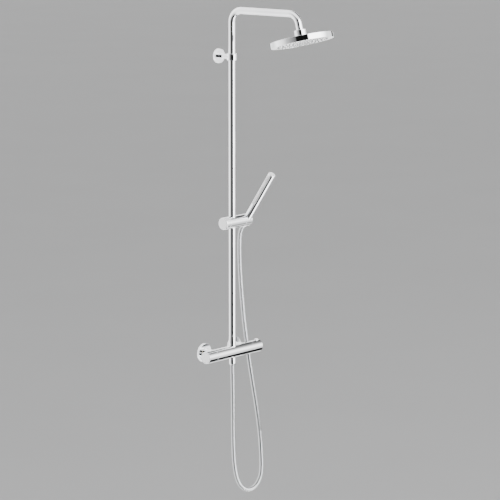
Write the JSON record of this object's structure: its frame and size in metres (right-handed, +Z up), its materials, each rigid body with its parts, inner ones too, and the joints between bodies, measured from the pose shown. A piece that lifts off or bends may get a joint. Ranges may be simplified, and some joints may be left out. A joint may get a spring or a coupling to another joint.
{
  "type": "rainfall shower column",
  "caption": "Wall-mounted thermostatic bar mixer with riser, arched arm, round overhead shower, height slider, stick hand shower and hose.",
  "frame": {"origin": "on the wall plane, midway between the two inlets, level with the mixer bar's axis", "axes": "+Z up along the riser, -Y out into the room, +X along the bar towards the temperature handle"},
  "size_m": [0.2912, 0.4832, 1.6411],
  "materials": {
    "chrome": "polished chrome plating",
    "brass": "machined brass",
    "steel": "plain stainless steel",
    "ceramic": "lapped ceramic",
    "silicone": "satin light grey silicone",
    "plastic": "moulded white plastic",
    "hose_metal": "chromed spiral metal sheath",
    "copper": "drawn copper"
  },
  "bodies": {
    "root": {"wall_union_left": "brass", "wall_union_right": "brass", "inlet_rosette_left": "chrome", "inlet_rosette_right": "chrome", "inlet_tail_left": "chrome", "inlet_tail_right": "chrome", "check_valve_left": "plastic", "check_valve_right": "plastic", "inlet_nut_left": "chrome", "inlet_nut_right": "chrome", "mixer_body": "chrome", "thermostatic_cartridge": "plastic", "diverter_cartridge": "plastic", "wax_element": "copper", "thermostat_spring": "steel", "diverter_fixed_disc": "ceramic", "outlet_nipple": "brass", "hose_nut_lower": "chrome", "riser_connector": "chrome", "riser_pipe": "chrome", "riser_coupler": "brass", "shower_arm": "chrome", "bracket_base": "steel", "bracket_screw": "steel", "wall_plug": "plastic", "bracket_rosette": "chrome", "bracket_rod": "chrome", "bracket_collar": "chrome", "collar_bush": "plastic", "arm_end_bush": "brass", "shower_hose": "hose_metal"},
    "temperature_handle": {"temperature_handle": "chrome", "temperature_handle_screw": "steel", "temperature_cap": "chrome", "temperature_spindle": "brass", "safety_button_spring": "steel"},
    "safety_button": {"safety_button": "chrome"},
    "diverter_handle": {"diverter_handle": "chrome", "diverter_handle_screw": "steel", "diverter_cap": "chrome", "diverter_spindle": "brass", "diverter_moving_disc": "ceramic"},
    "ball_swivel": {"ball_stem": "chrome"},
    "overhead_shower": {"head_union_nut": "chrome", "ball_seat": "plastic", "flow_regulator": "plastic", "head_shell": "chrome", "nozzle_mat": "silicone", "spray_plate": "chrome"},
    "slider": {"slider_body": "chrome", "slider_bush": "plastic"},
    "slider_knob": {"slider_knob": "chrome"},
    "holder": {"hand_shower_holder": "chrome", "holder_pivot_screw": "steel"},
    "hose_end": {"hose_nut_upper": "chrome"},
    "hand_shower": {"hand_shower_tube": "chrome", "spray_strip": "silicone", "water_duct": "plastic", "hand_shower_nipple": "brass"}
  },
  "joints": [
    {"name": "temperature_turn", "type": "hinge", "parent": "root", "child": "temperature_handle", "pos_m": [0, -0.062, 0], "axis": [1, 0, 0], "range_deg": [-135, 60]},
    {"name": "safety_press", "type": "slide", "parent": "temperature_handle", "child": "safety_button", "axis": [0, 0, -1], "range_m": [0, 0.002], "stiffness_N_per_m": 300, "springref_m": -0.002, "deforming": ["safety_button_spring"]},
    {"name": "diverter_turn", "type": "hinge", "parent": "root", "child": "diverter_handle", "pos_m": [0, -0.062, 0], "axis": [1, 0, 0], "range_deg": [-90, 90]},
    {"name": "slider_slide", "type": "slide", "parent": "root", "child": "slider", "axis": [0, 0, 1], "range_m": [-0.22, 0.4], "deforming": ["shower_hose"]},
    {"name": "knob_turn", "type": "hinge", "parent": "slider", "child": "slider_knob", "pos_m": [0, -0.062, 0.436], "axis": [1, 0, 0], "range_deg": [-180, 0]},
    {"name": "holder_tilt", "type": "hinge", "parent": "slider", "child": "holder", "pos_m": [0, -0.062, 0.436], "axis": [1, 0, 0], "range_deg": [-34, 25], "deforming": ["shower_hose"]},
    {"name": "hand_shower_lift", "type": "slide", "parent": "holder", "child": "hose_end", "axis": [0, -0.5664, 0.8241], "range_m": [0, 0.06], "deforming": ["shower_hose"]},
    {"name": "hand_shower_spin", "type": "hinge", "parent": "hose_end", "child": "hand_shower", "pos_m": [0.0675, -0.0655, 0.436], "axis": [0, -0.5664, 0.8241], "continuous": true},
    {"name": "head_swivel", "type": "hinge", "parent": "root", "child": "ball_swivel", "pos_m": [0, -0.35374, 1.06902], "axis": [0, -0.2588, -0.9659], "continuous": true},
    {"name": "head_tilt", "type": "hinge", "parent": "ball_swivel", "child": "overhead_shower", "pos_m": [0, -0.35374, 1.06902], "axis": [1, 0, 0], "range_deg": [-12, 12]}
  ]
}
